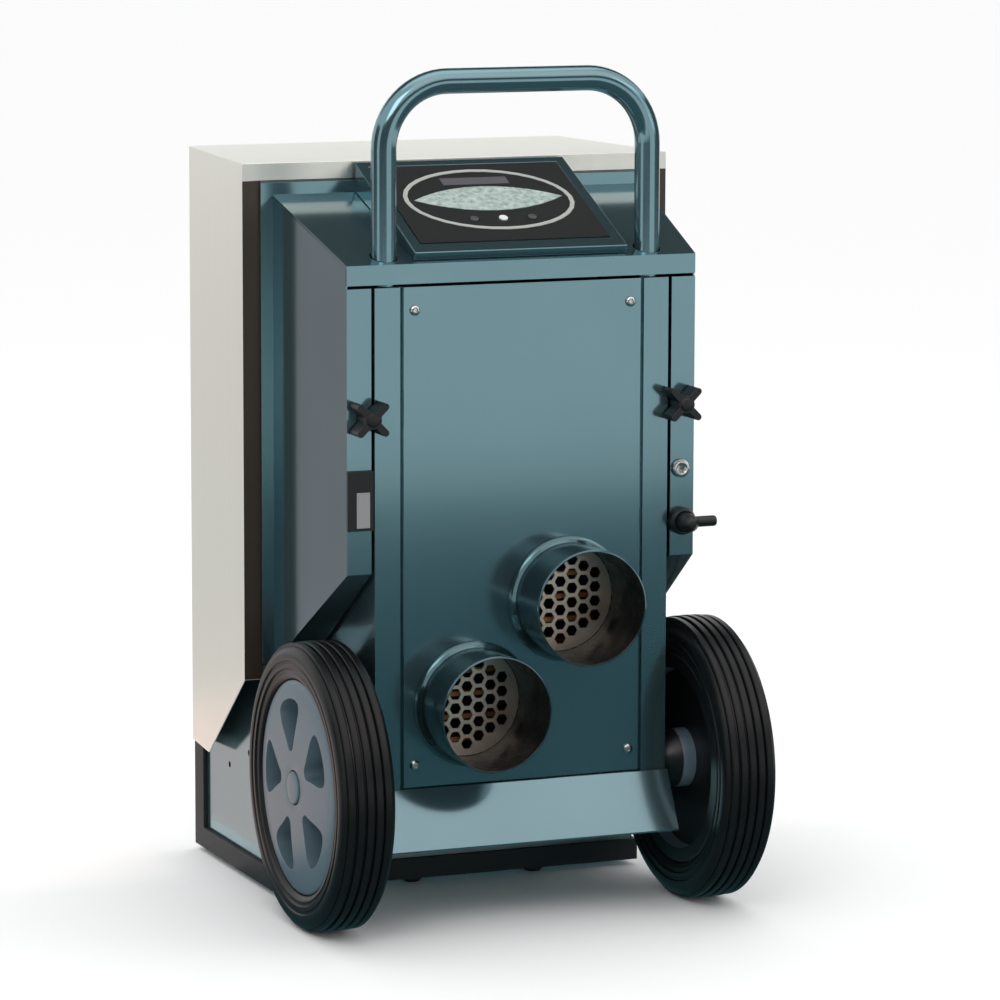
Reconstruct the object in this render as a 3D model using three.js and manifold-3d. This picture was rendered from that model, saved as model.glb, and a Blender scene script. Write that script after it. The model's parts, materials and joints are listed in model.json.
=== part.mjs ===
// Portable commercial dehumidifier on two transport wheels, built as an assembly of separate pieces.
// Millimetres, +Z up, floor at z = 0. While building, y = 0 is the duct outlet door and +Y runs
// towards the room-air inlet side; at the end everything is shifted so the origin is the centre of
// the footprint.
import * as THREE from "three";
import { mergeVertices } from "three/addons/utils/BufferGeometryUtils.js";
import Module from "manifold-3d";

const wasm = await Module();
wasm.setup();

// ---------------------------------------------------------------- driving dimensions
const GAP = 0.3; // clearance between touching or nested pieces
const SHEET = 1.5; // folded steel sheet

// upper body: narrow at the door, splayed towards the inlet side
const BODY_FRONT_HALF = 160.8;
const BODY_BACK_HALF = 174.5;
const BODY_DEPTH = 149.5;
const BODY_FLANGE_HALF = 185;
const BAR_BOTTOM = 556.9;
const BAR_TOP = 574;
const BAR_GAP = 2.6; // shadow gap between the bar and the sheets under it
const SLOPE_BACK_Z = 623;
const FLANGE_TOP = 633;
const STRIP_BOTTOM = 310.5; // lower end of the outer strips at y = 0
const UNDERSIDE_Y = 109.5;
const UNDERSIDE_Z = 237.4;
const UNDERSIDE_SLOPE = (STRIP_BOTTOM - UNDERSIDE_Z) / UNDERSIDE_Y;
const UNDERSIDE_BACK_Z = STRIP_BOTTOM - UNDERSIDE_SLOPE * BODY_DEPTH;

// column between the wheels
const COLUMN_HALF = 135.7;
const COLUMN_BOTTOM = 70;
const SEAM = 3; // open seam between the column and the outer strips
const DOOR_HALF = 109.75;
const DOOR_BOTTOM = 122.5;
const DOOR_TOP = 554.3;
const DOOR_GAP = 2.8; // open gap round the door
const DOOR_RIM = 4.4; // depth of the door's folded rim
const DOOR_SCREW_X = 99.5;
const DOOR_SCREW_Z = [142, 534.5];
const SCREW_SHANK_R = 2.5;
const SCREW_HOLE_R = 2.9;
const SKIRT_HALF = 137.5;
const SKIRT_FRONT_Y = -28;
const SKIRT_BOTTOM = 71.5;

// duct outlets
const DUCT_OUTER_R = 50;
const DUCT_TIP_Y = -56;
const DUCT_BACK_Y = 26;
const DUCT_FLANGE_R = 55;
const DUCTS = { upper: [41.5, 278.5], lower: [-45.5, 192] };
const GUARD_Y = 14;
const GUARD_PITCH = 12.5;
const GUARD_HOLE_R = 5.4;
const GUARD_T = 1.2;
const HEATER_Y = 36;
const HEATER_ROWS = [155, 175, 195, 215, 235, 255, 275, 295, 315];
const HEATER_REACH = 96;
const HEATER_R = 4.2;

// stainless shell on the inlet side
const SHELL_NEAR_Y = 152.5;
const SHELL_FAR_Y = 356;
const SHELL_NEAR_HALF = 200.4;
const SHELL_FAR_HALF = 180.4;
const SHELL_TOP = 649.8;
const SHELL_FLANGE_SIDE = 17;
const SHELL_FLANGE_TOP = 15.4;
const SHELL_NEAR_Z = 196.5;
const SHELL_KNEE_Y = 293;
const SHELL_BOTTOM = 104;

// chassis
const BULKHEAD_Y = 154.4;
const BASE_HALF = 173;
const BASE_NEAR_Y = 156;
const BASE_FAR_Y = 359;
const BASE_BOTTOM = 5;
const BUMPER_T = 3.2;
const BUMPER_H = 19;
const BUMPER_POST_W = 21;
const FOOT_POSITIONS = { near_left: [-38, 166], near_right: [79, 166], far_left: [-150, 345], far_right: [150, 345] };
const FOOT_R = 9;

// wheels
const AXLE_Y = 25.6;
const AXLE_Z = 125;
const AXLE_R = 10;
const WHEEL_R = 125;
const WHEEL_X = 175.9;
const WHEEL_HALF_W = 25.3;
const CAP_TOP = 26.6; // the hub cap stands a little proud of the tyre
const HUB_R = 92.8;
const POCKETS = 5;
const WHEEL_SIDES = 28; // the tyre and the rim share facets, so they nest
const HUB_BOSS = WHEEL_X - COLUMN_HALF - 0.5; // inner boss runs up to the column wall
const FIRST_POCKET_DEG = 149.5;

// handle and its clamps
const HANDLE_R = 11;
const HANDLE_X = 121.5;
const HANDLE_Y = 16;
const HANDLE_TOP = 726.5;
const HANDLE_BEND = 57;
const HANDLE_WALL = 2;
const HANDLE_END_Z = 300;
const QUARTER_CIRCLE = 0.5523; // cubic handle length of a quarter circle, per unit radius
const CLAMP_HALF = 12;
const CLAMP_WALL = 2.3;
const EAR_WINDOW_HALF = CLAMP_HALF + 2;
const KNOB_X = 144.5;
const KNOB_Z = 445;
const KNOB_R = 18.8;
const KNOB_ARM_HALF = 3;
const KNOB_CORE_R = 7.6;
const KNOB_BACK_Y = -2.5;
const KNOB_FACE_Y = -21;
const STUD_R = 3;

// fittings on the outer strips
const METER = { x0: -161.5, x1: -138, z0: 348.5, z1: 399.5, proud: 4.2 };
const METER_PLATE = { x0: -153.4, x1: -141.4, z0: 351, z1: 381.5 };
const SOCKET = [148, 387];
const OUTLET = [148.5, 341];

// control box on the slope
const PANEL_TILT = Math.atan2(68, 151); // its face leans back 24 degrees from level
const PANEL_ORIGIN = [2.5, 583]; // lower front corner of the face, y and z
const PANEL_HALF = 98;
const PANEL_LENGTH = 163;
const PANEL_WALL = 3.2;
const PANEL_REACH = 80; // how far the box is drawn down before the slope trims it

// face of the control box; V runs up the face from its lower edge
const BEZEL_HALF = 87.6;
const BEZEL_V = [15.4, 149.6];
const PANEL_CENTRE = [1, 88];
const RING_OUTER = [78, 53];
const RING_INNER = [74, 49];
const LENS_HALF = 69;
const LENS_RISE = 21;
const LABEL = { x: [-32, 30], v: [113, 125] };
const BUTTON_V = 53;
const BUTTON_X = { left: -25, centre: 2, right: 29 };
const BUTTON_R = 4;

// condensate tank and the inlet side
const TANK_HALF = 160;
const TANK_NEAR_Y = 208;
const TANK_FAR_Y = 357;
const TANK_BOTTOM = 8.4;
const TANK_TOP = 99;
const TANK_WALL = 2.5;
const DECK_Z = 106;
const GRILLE_HALF = 146;
const GRILLE_BOTTOM = 318;
const GRILLE_TOP = 618;
const COIL_HALF = 140;
const COIL_BOTTOM = 322;
const COIL_TOP = 612;
const COIL_CORE_T = 14;
const EVAPORATOR_Y = [292, 330];
const CONDENSER_Y = [246, 284];

// fan
const FAN_Z = 430;
const FAN_HOUSING_Y = [76, 148];
const SCROLL_R = [82, 104];
const FAN_SHAFT_R = 4;
const FAN_BLADES = 9;
const IMPELLER_R = 71;
const IMPELLER_Y = [88, 136];
const INLET_R = 56;

const Y_CENTRE = (BASE_FAR_Y + GAP + BUMPER_T + AXLE_Y - WHEEL_R) / 2;

// ---------------------------------------------------------------- shape helpers
function toSolid(geometry) {
  const bare = new THREE.BufferGeometry();
  bare.setAttribute("position", geometry.getAttribute("position"));
  if (geometry.index) bare.setIndex(geometry.index);
  const merged = mergeVertices(bare, 1e-4);
  return new wasm.Manifold(
    new wasm.Mesh({
      numProp: 3,
      vertProperties: new Float32Array(merged.attributes.position.array),
      triVerts: new Uint32Array(merged.index.array),
    }),
  );
}

function toGeometry(solid) {
  const mesh = solid.getMesh();
  const geometry = new THREE.BufferGeometry();
  geometry.setAttribute("position", new THREE.BufferAttribute(mesh.vertProperties, 3));
  geometry.setIndex(new THREE.BufferAttribute(mesh.triVerts, 1));
  const flat = geometry.toNonIndexed();
  flat.computeVertexNormals();
  return flat;
}

const union = (...parts) => toGeometry(parts.map(toSolid).reduce((a, b) => a.add(b)));
const cut = (body, ...tools) => toGeometry(tools.map(toSolid).reduce((a, b) => a.subtract(b), toSolid(body)));
const common = (a, b) => toGeometry(toSolid(a).intersect(toSolid(b)));

function box(x0, x1, y0, y1, z0, z1) {
  const geometry = new THREE.BoxGeometry(x1 - x0, y1 - y0, z1 - z0);
  return geometry.translate((x0 + x1) / 2, (y0 + y1) / 2, (z0 + z1) / 2);
}

function polygon(points) {
  return new THREE.Shape(points.map(([u, v]) => new THREE.Vector2(u, v)));
}

const regularPolygon = (u, v, r, sides) =>
  Array.from({ length: sides }, (_, i) => {
    const angle = (i / sides) * Math.PI * 2;
    return [u + r * Math.cos(angle), v + r * Math.sin(angle)];
  });

const extrude = (shape, depth, curveSegments = 12) =>
  new THREE.ExtrudeGeometry(shape, { depth, bevelEnabled: false, curveSegments });

// turns an outline drawn in (u, v) and extruded along w into y, z and x
const ALONG_X = new THREE.Matrix4().makeBasis(
  new THREE.Vector3(0, 1, 0),
  new THREE.Vector3(0, 0, 1),
  new THREE.Vector3(1, 0, 0),
);

// outline in (y, z), swept from x0 to x1
function prismX(points, x0, x1) {
  return extrude(polygon(points), x1 - x0).applyMatrix4(ALONG_X).translate(x0, 0, 0);
}

// outline in (x, z), swept from y0 to y1
function prismY(points, y0, y1) {
  return extrude(polygon(points), y1 - y0).rotateX(Math.PI / 2).translate(0, y1, 0);
}

// outline in (x, y), swept from z0 to z1
function prismZ(points, z0, z1) {
  return extrude(polygon(points), z1 - z0).translate(0, 0, z0);
}

// closed profile of [radius, height] pairs turned about the given axis
function lathe(profile, axis, segments = 32) {
  const points = profile.map(([r, h]) => new THREE.Vector2(r, h));
  const geometry = new THREE.LatheGeometry(points, segments);
  if (axis === "x") geometry.rotateZ(-Math.PI / 2);
  if (axis === "z") geometry.rotateX(Math.PI / 2);
  return geometry;
}

const rod = (r, h0, h1, axis, segments = 32) =>
  lathe([[0, h0], [r, h0], [r, h1], [0, h1]], axis, segments);

const ring = (inner, outer, h0, h1, axis, segments = 32) =>
  lathe([[inner, h0], [outer, h0], [outer, h1], [inner, h1], [inner, h0]], axis, segments);

function sweep(curve, radius, steps, sides = 12, inner = 0) {
  const shape = new THREE.Shape();
  shape.absarc(0, 0, radius, 0, Math.PI * 2);
  if (inner) {
    const hole = new THREE.Path();
    hole.absarc(0, 0, inner, 0, Math.PI * 2, true);
    shape.holes.push(hole);
  }
  return new THREE.ExtrudeGeometry(shape, { steps, extrudePath: curve, curveSegments: sides });
}

function mirrorX(geometry) {
  const flipped = geometry.index ? geometry.toNonIndexed() : geometry.clone();
  const position = flipped.getAttribute("position");
  for (let i = 0; i < position.count; i += 3) {
    const a = [position.getX(i), position.getY(i), position.getZ(i)];
    const b = [position.getX(i + 1), position.getY(i + 1), position.getZ(i + 1)];
    position.setXYZ(i, -b[0], b[1], b[2]);
    position.setXYZ(i + 1, -a[0], a[1], a[2]);
    position.setX(i + 2, -position.getX(i + 2));
  }
  flipped.computeVertexNormals();
  return flipped;
}

// ---------------------------------------------------------------- assembly helpers
const MATERIALS = {
  paint: [0x4a626a, 0.3, 0.3],
  stainless: [0xcfd0c8, 0.9, 0.35],
  steel: [0xb9bcbc, 0.9, 0.3],
  galvanised: [0x9aa0a2, 0.8, 0.5],
  black: [0x17191a, 0.0, 0.5],
  hub: [0x4e6470, 0.1, 0.45],
  tyre: [0x1e2022, 0.0, 0.8],
  rubber: [0x202224, 0.0, 0.8],
  aqua: [0xbfd8d4, 0.0, 0.2],
  label: [0x8f8b95, 0.0, 0.5],
  copper: [0xb5714a, 0.9, 0.35],
  filter: [0xd9dcdc, 0.0, 0.9],
  tank: [0xc9cfd2, 0.0, 0.4],
  board: [0x2f6b45, 0.0, 0.6],
};

const root = new THREE.Group();
root.name = "dehumidifier";

function add(name, material, geometry) {
  const [color, metalness, roughness] = MATERIALS[material];
  const mesh = new THREE.Mesh(
    geometry.translate(0, -Y_CENTRE, 0),
    new THREE.MeshStandardMaterial({ color, metalness, roughness, name: material }),
  );
  mesh.name = name;
  root.add(mesh);
}

const SIDES = { left: (g) => mirrorX(g), right: (g) => g };

function addPair(stem, material, makeRight) {
  for (const [side, place] of Object.entries(SIDES)) add(`${stem}_${side}`, material, place(makeRight()));
}

// ---------------------------------------------------------------- body sheet metal
const bodyHalfAt = (y) => BODY_FRONT_HALF + ((BODY_BACK_HALF - BODY_FRONT_HALF) * y) / BODY_DEPTH;

// leg of the splayed side wall as a plan outline between depths y0 and y1
const splayedWall = (y0, y1, t) => [
  [bodyHalfAt(y0) - t, y0],
  [bodyHalfAt(y0), y0],
  [bodyHalfAt(y1), y1],
  [bodyHalfAt(y1) - t, y1],
];

function sidePanel() {
  const top = BAR_BOTTOM - BAR_GAP;
  const slopeTop = (y) => BAR_TOP + ((SLOPE_BACK_Z - BAR_TOP) * y) / BODY_DEPTH - SHEET - 0.6;
  const outline = [
    [0, STRIP_BOTTOM],
    [BODY_DEPTH, UNDERSIDE_BACK_Z],
    [BODY_DEPTH, slopeTop(BODY_DEPTH)],
    [SHEET + 0.6, slopeTop(SHEET + 0.6)],
    [SHEET + 0.6, top],
    [0, top],
  ];
  const profile = prismX(outline, 100, 200);
  const wall = common(profile, prismZ(splayedWall(0, BODY_DEPTH, SHEET), 0, 700));
  const strip = box(COLUMN_HALF + SEAM, BODY_FRONT_HALF, 0, SHEET, STRIP_BOTTOM, top);
  const underBand = prismX(
    [
      [0, STRIP_BOTTOM],
      [BODY_DEPTH, UNDERSIDE_BACK_Z],
      [BODY_DEPTH, UNDERSIDE_BACK_Z + 1.9],
      [0, STRIP_BOTTOM + 1.9],
    ],
    100,
    200,
  );
  const underPlan = prismZ(
    [
      [COLUMN_HALF + SEAM, 0],
      [BODY_FRONT_HALF, 0],
      [BODY_BACK_HALF, BODY_DEPTH],
      [COLUMN_HALF + SEAM, BODY_DEPTH],
    ],
    0,
    700,
  );
  const flange = box(BODY_BACK_HALF - SHEET, BODY_FLANGE_HALF, BODY_DEPTH - SHEET, BODY_DEPTH, UNDERSIDE_BACK_Z, FLANGE_TOP);
  return union(wall, strip, common(underBand, underPlan), flange);
}

function leftSidePanel() {
  const meterCut = box(METER.x0 + 1.5, METER.x1 - 1.2, -1, 4, METER.z0 + 2, METER.z1 - 2);
  return cut(mirrorX(sidePanel()), knobHole(-1), meterCut);
}

function rightSidePanel() {
  const socketCut = rod(6.3, -2, 4, "y", 24).translate(SOCKET[0], 0, SOCKET[1]);
  const elbowCut = rod(7.3, -2, 4, "y", 24).translate(OUTLET[0], 0, OUTLET[1]);
  return cut(sidePanel(), knobHole(1), socketCut, elbowCut);
}

const knobHole = (sign) => rod(4.6, -2, 6, "y", 20).translate(sign * KNOB_X, 0, KNOB_Z);

function topPanel() {
  const outline = [
    [0, BAR_BOTTOM],
    [SHEET, BAR_BOTTOM],
    [SHEET, BAR_TOP - SHEET],
    [BODY_DEPTH - SHEET, SLOPE_BACK_Z - SHEET],
    [BODY_DEPTH, SLOPE_BACK_Z - SHEET],
    [BODY_DEPTH, SLOPE_BACK_Z],
    [0, BAR_TOP],
  ];
  const plan = prismZ(
    [
      [-BODY_FRONT_HALF, 0],
      [BODY_FRONT_HALF, 0],
      [BODY_BACK_HALF, BODY_DEPTH],
      [-BODY_BACK_HALF, BODY_DEPTH],
    ],
    500,
    700,
  );
  const sheet = common(prismX(outline, -200, 200), plan);
  const flange = box(-BODY_BACK_HALF + SHEET + GAP, BODY_BACK_HALF - SHEET - GAP, BODY_DEPTH - SHEET, BODY_DEPTH, SLOPE_BACK_Z - SHEET, FLANGE_TOP);
  const legHoles = [-HANDLE_X, HANDLE_X].map((x) => rod(HANDLE_R + 1.2, 500, 700, "z", 24).translate(x, HANDLE_Y, 0));
  const boxCut = box(-PANEL_HALF + 3, PANEL_HALF - 3, 20, 140, 560, 660);
  const sideFlangeRoom = [-1, 1].map((s) =>
    box(s * 180 - 7.3, s * 180 + 7.3, BODY_DEPTH - SHEET - GAP, BODY_DEPTH + 1, 600, 640),
  );
  return cut(union(sheet, flange), ...legHoles, boxCut, ...sideFlangeRoom);
}

// window in the column wall that lets the clamp ears through
const earWindow = (sign) => box(sign * 134 - 4, sign * 134 + 4, 1.6, 34, KNOB_Z - EAR_WINDOW_HALF, KNOB_Z + EAR_WINDOW_HALF);

function columnFrame() {
  const top = BAR_BOTTOM - BAR_GAP;
  const wayHalf = DOOR_HALF + DOOR_GAP;
  const wayBottom = DOOR_BOTTOM - DOOR_GAP;
  const outer = box(-COLUMN_HALF, COLUMN_HALF, 0, BODY_DEPTH + 3, COLUMN_BOTTOM, top);
  const hollow = box(-COLUMN_HALF + SHEET, COLUMN_HALF - SHEET, SHEET, 200, COLUMN_BOTTOM + SHEET, 700);
  const doorway = box(-wayHalf, wayHalf, -1, SHEET + 1, wayBottom, top + 5);
  const axleHoles = rod(AXLE_R + GAP, -200, 200, "x", 20).translate(0, AXLE_Y, AXLE_Z);
  const shell = cut(outer, hollow, doorway, axleHoles, earWindow(1), earWindow(-1));
  // the doorway's folded edge, with the ledge the door closes against
  const ledgeY = DOOR_RIM + GAP;
  const rebate = cut(
    box(-wayHalf - SHEET, wayHalf + SHEET, SHEET - 0.5, ledgeY + SHEET, wayBottom - SHEET, top),
    box(-wayHalf, wayHalf, 0, ledgeY, wayBottom, top + 5),
    box(-DOOR_HALF + 18, DOOR_HALF - 18, 0, 10, DOOR_BOTTOM + 12, top - 26),
    ...doorScrewHoles(SCREW_HOLE_R),
    ...ductHoles(1.5),
  );
  return union(shell, rebate);
}

const doorScrewSpots = [-DOOR_SCREW_X, DOOR_SCREW_X].flatMap((x) => DOOR_SCREW_Z.map((z) => [x, z]));
const doorScrewHoles = (r) => doorScrewSpots.map(([x, z]) => rod(r, -5, 12, "y", 8).translate(x, 0, z));

const ductHoles = (clearance) =>
  Object.values(DUCTS).map(([x, z]) => rod(DUCT_OUTER_R + clearance, -5, 10, "y", 32).translate(x, 0, z));

function doorPanel() {
  const sheet = box(-DOOR_HALF, DOOR_HALF, -GAP, SHEET - GAP, DOOR_BOTTOM, DOOR_TOP);
  const rim = cut(
    box(-DOOR_HALF, DOOR_HALF, 0, DOOR_RIM, DOOR_BOTTOM, DOOR_TOP),
    box(-DOOR_HALF + SHEET, DOOR_HALF - SHEET, -1, 10, DOOR_BOTTOM + SHEET, DOOR_TOP - SHEET),
  );
  return cut(union(sheet, rim), ...ductHoles(0.4), ...doorScrewHoles(SCREW_HOLE_R));
}

function doorScrew([x, z]) {
  const profile = [[0, -11], [SCREW_SHANK_R, -11], [SCREW_SHANK_R, 0.6], [4.6, 0.6], [4.2, 2.4], [2.4, 3.2], [0, 3.2]];
  return lathe(profile, "y", 8).rotateZ(Math.PI).translate(x, 0, z);
}

function skirt() {
  const t = 1.6;
  return prismX(
    [
      [SKIRT_FRONT_Y, SKIRT_BOTTOM],
      [SKIRT_FRONT_Y + t, SKIRT_BOTTOM],
      [SKIRT_FRONT_Y + t + 0.2, SKIRT_BOTTOM + 1],
      [-GAP, DOOR_BOTTOM - 6],
      [-GAP, DOOR_BOTTOM - 1],
      [-2, DOOR_BOTTOM - 1],
      [SKIRT_FRONT_Y, SKIRT_BOTTOM + 1.5],
    ],
    -SKIRT_HALF,
    SKIRT_HALF,
  );
}

function bulkhead() {
  const outline = [
    [-BASE_HALF + 2.2, BASE_BOTTOM + 4],
    [BASE_HALF - 2.2, BASE_BOTTOM + 4],
    [BASE_HALF - 2.2, SHELL_NEAR_Z + 2],
    [SHELL_NEAR_HALF - 4, SHELL_NEAR_Z + 2],
    [SHELL_NEAR_HALF - 4, SHELL_TOP - 3],
    [-SHELL_NEAR_HALF + 4, SHELL_TOP - 3],
    [-SHELL_NEAR_HALF + 4, SHELL_NEAR_Z + 2],
    [-BASE_HALF + 2.2, SHELL_NEAR_Z + 2],
  ];
  const inlet = rod(INLET_R + 6, 150, 165, "y", 36).translate(0, 0, FAN_Z);
  return cut(prismY(outline, BULKHEAD_Y, BULKHEAD_Y + SHEET), inlet);
}

// ---------------------------------------------------------------- ducts
function ductCollar([x, z]) {
  const inner = DUCT_OUTER_R - SHEET;
  const profile = [
    [inner, -DUCT_BACK_Y],
    [DUCT_OUTER_R, -DUCT_BACK_Y],
    [DUCT_OUTER_R, 0.6],
    [DUCT_FLANGE_R, 0.6],
    [DUCT_FLANGE_R, 2.2],
    [DUCT_OUTER_R + 2.4, 3],
    [DUCT_OUTER_R, 5.4],
    [DUCT_OUTER_R, -DUCT_TIP_Y - 1.5],
    [DUCT_OUTER_R + 0.7, -DUCT_TIP_Y - 0.7],
    [DUCT_OUTER_R, -DUCT_TIP_Y],
    [inner, -DUCT_TIP_Y],
    [inner, -DUCT_BACK_Y],
  ];
  return lathe(profile, "y", 32).rotateZ(Math.PI).translate(x, 0, z);
}

function guardGrid([x, z]) {
  const radius = DUCT_OUTER_R - SHEET - GAP;
  const shape = polygon(regularPolygon(0, 0, radius, 36));
  const column = (GUARD_PITCH * Math.sqrt(3)) / 2;
  for (let i = -4; i <= 4; i++) {
    for (let j = -5; j <= 5; j++) {
      const u = i * column;
      const v = (j + (i % 2 ? 0.5 : 0)) * GUARD_PITCH;
      if (Math.hypot(u, v) > radius - GUARD_HOLE_R - 1) continue;
      const corners = regularPolygon(u, v, GUARD_HOLE_R, 6).reverse();
      shape.holes.push(new THREE.Path(corners.map(([a, b]) => new THREE.Vector2(a, b))));
    }
  }
  return extrude(shape, GUARD_T).rotateX(Math.PI / 2).translate(x, GUARD_Y + GUARD_T, z);
}

function heaterElement() {
  const points = [];
  HEATER_ROWS.forEach((z, i) => {
    const side = i % 2 ? 1 : -1;
    points.push([side * HEATER_REACH, z], [-side * HEATER_REACH, z]);
  });
  const path = new THREE.CurvePath();
  const at = ([px, pz]) => new THREE.Vector3(px, HEATER_Y, pz);
  points.slice(1).forEach((p, i) => {
    const from = at(points[i]);
    const to = at(p);
    if (i % 2 === 0) path.add(new THREE.LineCurve3(from, to));
    else {
      const out = Math.sign(p[0]) * 14;
      path.add(
        new THREE.CubicBezierCurve3(
          from,
          from.clone().add(new THREE.Vector3(out, 0, 0)),
          to.clone().add(new THREE.Vector3(out, 0, 0)),
          to,
        ),
      );
    }
  });
  return sweep(path, HEATER_R, 70, 3);
}

// ---------------------------------------------------------------- handle and clamps
function handle() {
  const inside = HANDLE_X - HANDLE_BEND;
  const k = QUARTER_CIRCLE * HANDLE_BEND;
  const bendStart = HANDLE_TOP - HANDLE_BEND;
  const v = (x, z) => new THREE.Vector3(x, HANDLE_Y, z);
  const bend = (s) => [
    v(s * HANDLE_X, bendStart),
    v(s * HANDLE_X, bendStart + k),
    v(s * (inside + k), HANDLE_TOP),
    v(s * inside, HANDLE_TOP),
  ];
  const leg = (s) => ring(HANDLE_R - HANDLE_WALL, HANDLE_R, HANDLE_END_Z, bendStart + 0.01, "z", 16).translate(s * HANDLE_X, HANDLE_Y, 0);
  const arch = new THREE.CurvePath();
  const [a, b, c, d] = bend(-1);
  arch.add(new THREE.CubicBezierCurve3(a, b, c, d));
  arch.add(new THREE.LineCurve3(v(-inside, HANDLE_TOP), v(inside, HANDLE_TOP)));
  const [e, f, g, h] = bend(1).reverse();
  arch.add(new THREE.CubicBezierCurve3(e, f, g, h));
  return union(sweep(arch, HANDLE_R, 24, 8), leg(-1), leg(1));
}

function handleClamp() {
  const bore = HANDLE_R + 0.35;
  const bodyRing = rod(bore + CLAMP_WALL, KNOB_Z - CLAMP_HALF, KNOB_Z + CLAMP_HALF, "z", 24).translate(HANDLE_X, HANDLE_Y, 0);
  const ears = box(HANDLE_X, KNOB_X + 9, 3.4, 30, KNOB_Z - CLAMP_HALF, KNOB_Z + CLAMP_HALF);
  const holeThrough = rod(bore, KNOB_Z - 30, KNOB_Z + 30, "z", 24).translate(HANDLE_X, HANDLE_Y, 0);
  const slit = box(HANDLE_X + 5, KNOB_X + 20, HANDLE_Y - 1.5, HANDLE_Y + 1.5, KNOB_Z - 30, KNOB_Z + 30);
  const stud = rod(STUD_R + GAP, -5, 40, "y", 16).translate(KNOB_X, 0, KNOB_Z);
  const wallRoom = box(130, 136.5, 0, 2.2, 400, 500);
  const ledgeRoom = box(100, DOOR_HALF + DOOR_GAP + SHEET + GAP, 0, DOOR_RIM + SHEET + 2 * GAP, 400, 500);
  return cut(union(bodyRing, ears), holeThrough, slit, stud, wallRoom, ledgeRoom);
}

function starKnob() {
  const reach = KNOB_R - KNOB_ARM_HALF;
  const bar = (deg) =>
    union(
      box(-reach, reach, KNOB_FACE_Y, KNOB_BACK_Y, -KNOB_ARM_HALF, KNOB_ARM_HALF),
      ...[-reach, reach].map((x) => rod(KNOB_ARM_HALF, KNOB_FACE_Y, KNOB_BACK_Y, "y", 12).translate(x, 0, 0)),
    ).rotateY(THREE.MathUtils.degToRad(deg));
  const core = rod(KNOB_CORE_R, KNOB_FACE_Y, KNOB_BACK_Y, "y", 20);
  const base = rod(6.5, KNOB_BACK_Y - 1, -1, "y", 20);
  const stud = rod(STUD_R, KNOB_BACK_Y - 1, 30, "y", 16);
  const crown = lathe([[0, KNOB_FACE_Y - 2.4], [5, KNOB_FACE_Y - 1.6], [6.4, KNOB_FACE_Y + 1], [0, KNOB_FACE_Y + 1]], "y", 20);
  return union(bar(45), bar(-45), core, base, stud, crown).translate(KNOB_X, 0, KNOB_Z);
}

// ---------------------------------------------------------------- fittings on the outer strips
const METER_FACE_Y = -2.9;

function hourMeter() {
  const bezel = box(METER.x0, METER.x1, -METER.proud, -GAP, METER.z0, METER.z1);
  const body = box(METER.x0 + 1.9, METER.x1 - 1.6, -1, 24, METER.z0 + 2.5, METER.z1 - 2.5);
  const p = METER_PLATE;
  const plateCut = box(p.x0 - GAP, p.x1 + GAP, -METER.proud - 1, METER_FACE_Y + GAP, p.z0 - GAP, p.z1 + GAP);
  return cut(union(bezel, body), plateCut);
}

const meterWindow = () =>
  box(METER_PLATE.x0, METER_PLATE.x1, -METER.proud + GAP, METER_FACE_Y, METER_PLATE.z0, METER_PLATE.z1);

// lathe profiles below give [radius, distance ahead of the strip]
function sensorSocket() {
  const profile = [[0, -8], [6, -8], [6, 0.4], [8.2, 0.4], [8.2, 3.2], [7, 4], [3.6, 4], [3.6, -4], [0, -4]];
  return lathe(profile, "y", 16).rotateZ(Math.PI).translate(SOCKET[0], 0, SOCKET[1]);
}

function outletNut() {
  const profile = [[5, -6], [7, -6], [7, 0.4], [12, 0.4], [12, 7], [10.5, 10], [9, 10], [9, 4], [5, 4], [5, -6]];
  return lathe(profile, "y", 16).rotateZ(Math.PI).translate(OUTLET[0], 0, OUTLET[1]);
}

function outletElbow() {
  const barrel = lathe([[0, 4.4], [8.6, 4.4], [8.6, 18], [7, 24], [3.5, 27.5], [0, 28.2]], "y", 16).rotateZ(Math.PI);
  const spout = lathe([[0, 0], [4.8, 0], [4.8, 23.5], [4, 25], [0, 25]], "x", 16).translate(0, -18.5, 1);
  return union(barrel, spout).translate(OUTLET[0], 0, OUTLET[1]);
}

// ---------------------------------------------------------------- control box
function onPanel(geometry) {
  return geometry.rotateX(PANEL_TILT).translate(0, PANEL_ORIGIN[0], PANEL_ORIGIN[1]);
}

function controlBox() {
  const tilted = onPanel(box(-PANEL_HALF, PANEL_HALF, 0, PANEL_LENGTH, -PANEL_REACH, 0));
  const slope = (SLOPE_BACK_Z - BAR_TOP) / BODY_DEPTH;
  const boxBack = BODY_DEPTH - SHEET - GAP;
  const above = prismX(
    [
      [0.5, BAR_TOP + slope * 0.5 + GAP],
      [boxBack, BAR_TOP + slope * boxBack + GAP],
      [boxBack, 700],
      [0.5, 700],
    ],
    -200,
    200,
  );
  const block = common(tilted, above);
  const hollow = common(
    onPanel(box(-PANEL_HALF + PANEL_WALL, PANEL_HALF - PANEL_WALL, 12, PANEL_LENGTH - 16, -PANEL_REACH, -5)),
    prismX([[14, 500], [BODY_DEPTH - 4, 500], [BODY_DEPTH - 4, 700], [14, 700]], -200, 200),
  );
  const recess = onPanel(box(-BEZEL_HALF - 0.4, BEZEL_HALF + 0.4, BEZEL_V[0] - 0.4, BEZEL_V[1] + 0.4, -1.6, 5));
  return cut(block, hollow, recess);
}

function ellipseShape(a, b, inner = null) {
  const shape = new THREE.Shape();
  shape.absellipse(0, 0, a, b, 0, Math.PI * 2);
  if (inner) {
    const hole = new THREE.Path();
    hole.absellipse(0, 0, inner[0], inner[1], 0, Math.PI * 2, true);
    shape.holes.push(hole);
  }
  return shape;
}

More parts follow.
